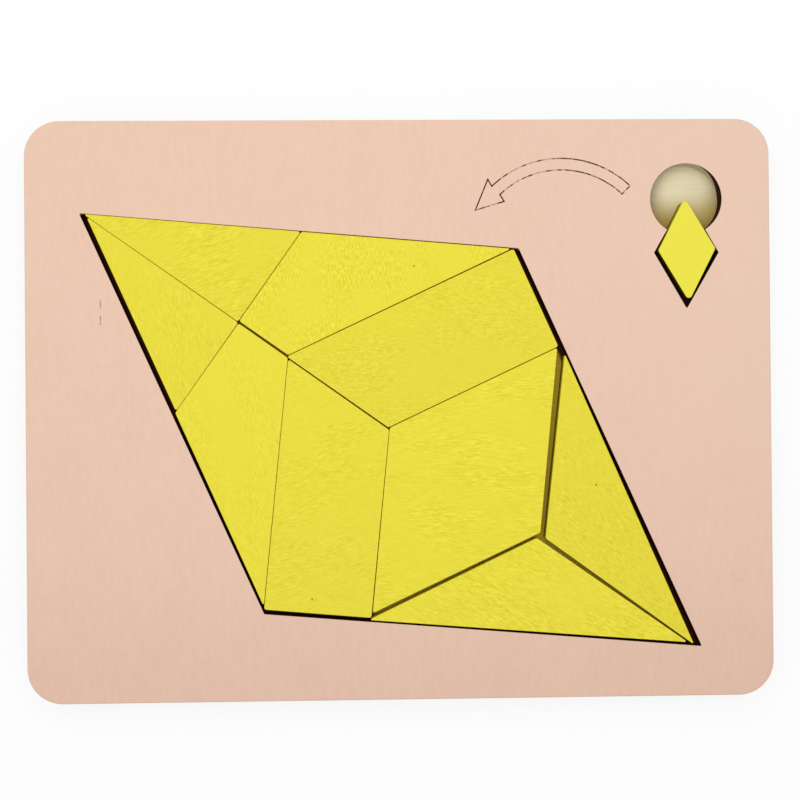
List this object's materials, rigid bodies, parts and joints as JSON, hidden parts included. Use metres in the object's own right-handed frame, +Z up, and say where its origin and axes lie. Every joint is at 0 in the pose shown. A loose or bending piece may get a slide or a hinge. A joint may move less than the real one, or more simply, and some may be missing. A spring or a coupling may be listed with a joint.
{
  "type": "wooden tray puzzle",
  "caption": "Flat wooden tray puzzle: loose painted tiles fill a rhombus tray, and a small spare tile lies in its own pocket with a finger hole, beside an engraved arrow.",
  "frame": {"origin": "middle of the underside of the board", "axes": "+X along the long side of the board, to the right as pictured; +Y along its short side, towards the edge with the arrow and the finger hole; +Z up out of the tray"},
  "size_m": [0.18, 0.14, 0.008],
  "materials": {
    "pink_frame": "pale pink matt paint on plywood, charred on the cut pocket walls",
    "natural_wood": "bare pale plywood",
    "yellow_tile": "thin yellow satin stain that lets the grain through"
  },
  "bodies": {
    "tray": {"base_board": "natural_wood", "frame_board": "pink_frame"},
    "left_triangle_upper": {"left_triangle_upper": "yellow_tile"},
    "left_triangle_lower": {"left_triangle_lower": "yellow_tile"},
    "long_quad_upper": {"long_quad_upper": "yellow_tile"},
    "long_quad_lower": {"long_quad_lower": "yellow_tile"},
    "broad_quad_upper": {"broad_quad_upper": "yellow_tile"},
    "broad_quad_lower": {"broad_quad_lower": "yellow_tile"},
    "big_rhombus": {"big_rhombus": "yellow_tile"},
    "right_triangle_upper": {"right_triangle_upper": "yellow_tile"},
    "right_triangle_lower": {"right_triangle_lower": "yellow_tile"},
    "small_rhombus": {"small_rhombus": "yellow_tile"}
  },
  "joints": [
    {"name": "left_triangle_upper_lift", "type": "slide", "parent": "tray", "child": "left_triangle_upper", "axis": [0, 0, 1], "range_m": [0, 0.015]},
    {"name": "left_triangle_lower_lift", "type": "slide", "parent": "tray", "child": "left_triangle_lower", "axis": [0, 0, 1], "range_m": [0, 0.015]},
    {"name": "long_quad_upper_lift", "type": "slide", "parent": "tray", "child": "long_quad_upper", "axis": [0, 0, 1], "range_m": [0, 0.015]},
    {"name": "long_quad_lower_lift", "type": "slide", "parent": "tray", "child": "long_quad_lower", "axis": [0, 0, 1], "range_m": [0, 0.015]},
    {"name": "broad_quad_upper_lift", "type": "slide", "parent": "tray", "child": "broad_quad_upper", "axis": [0, 0, 1], "range_m": [0, 0.015]},
    {"name": "broad_quad_lower_lift", "type": "slide", "parent": "tray", "child": "broad_quad_lower", "axis": [0, 0, 1], "range_m": [0, 0.015]},
    {"name": "big_rhombus_lift", "type": "slide", "parent": "tray", "child": "big_rhombus", "axis": [0, 0, 1], "range_m": [0, 0.015]},
    {"name": "right_triangle_upper_lift", "type": "slide", "parent": "tray", "child": "right_triangle_upper", "axis": [0, 0, 1], "range_m": [0, 0.015]},
    {"name": "right_triangle_lower_lift", "type": "slide", "parent": "tray", "child": "right_triangle_lower", "axis": [0, 0, 1], "range_m": [0, 0.015]},
    {"name": "small_rhombus_lift", "type": "slide", "parent": "tray", "child": "small_rhombus", "axis": [0, 0, 1], "range_m": [0, 0.015]}
  ]
}
